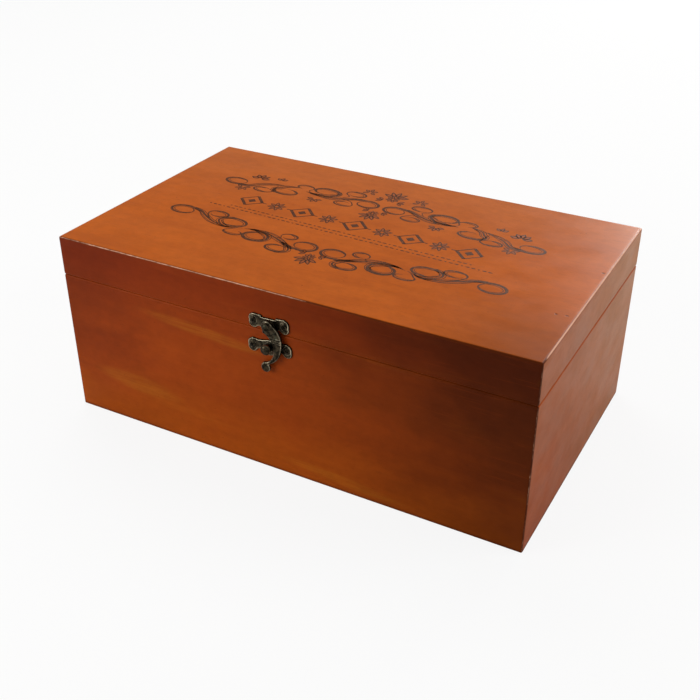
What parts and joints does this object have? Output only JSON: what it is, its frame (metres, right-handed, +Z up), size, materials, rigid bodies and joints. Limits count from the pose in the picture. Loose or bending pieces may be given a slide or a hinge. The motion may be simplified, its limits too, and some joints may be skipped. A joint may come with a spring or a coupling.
{
  "type": "hinged wooden box",
  "caption": "Low rectangular wooden box with a back-hinged lid, butt hinges behind and a swinging hook latch on the front.",
  "frame": {"origin": "middle of the flat underside of the box, on the surface it stands on", "axes": "+X along the front to the viewer's right, +Y from the front to the hinged back, +Z up"},
  "size_m": [0.355, 0.2229, 0.14],
  "materials": {
    "stained_wood": "red-brown stain under satin lacquer",
    "antique_bronze": "cast and pressed, darkened antique bronze with worn edges",
    "antique_screws": "turned, darkened antique bronze",
    "bright_steel": "plain drawn wire, hidden in the joints"
  },
  "bodies": {
    "base": {"bottom_panel": "stained_wood", "front_board": "stained_wood", "back_board": "stained_wood", "left_board": "stained_wood", "right_board": "stained_wood", "base_corner_brads": "bright_steel", "bottom_brads": "bright_steel", "catch_plate": "antique_bronze", "catch_post": "antique_bronze", "catch_screws": "antique_screws", "left_hinge_base_leaf": "antique_bronze", "right_hinge_base_leaf": "antique_bronze", "left_hinge_pin": "antique_screws", "right_hinge_pin": "antique_screws", "base_hinge_screws": "antique_screws"},
    "lid": {"lid_top_panel": "stained_wood", "lid_front_rail": "stained_wood", "lid_back_rail": "stained_wood", "lid_left_rail": "stained_wood", "lid_right_rail": "stained_wood", "lid_corner_brads": "bright_steel", "latch_plate": "antique_bronze", "latch_rivet": "antique_screws", "latch_screws": "antique_screws", "left_hinge_lid_leaf": "antique_bronze", "right_hinge_lid_leaf": "antique_bronze", "lid_hinge_screws": "antique_screws"},
    "hook": {"latch_hook": "antique_bronze"}
  },
  "joints": [
    {"name": "lid_hinge", "type": "hinge", "parent": "base", "child": "lid", "pos_m": [0, 0.1075, 0.1106], "axis": [-1, 0, 0], "range_deg": [0, 180]},
    {"name": "hook_swing", "type": "hinge", "parent": "lid", "child": "hook", "pos_m": [-0.004, -0.105, 0.1158], "axis": [0, -1, 0], "range_deg": [0, 298]}
  ]
}
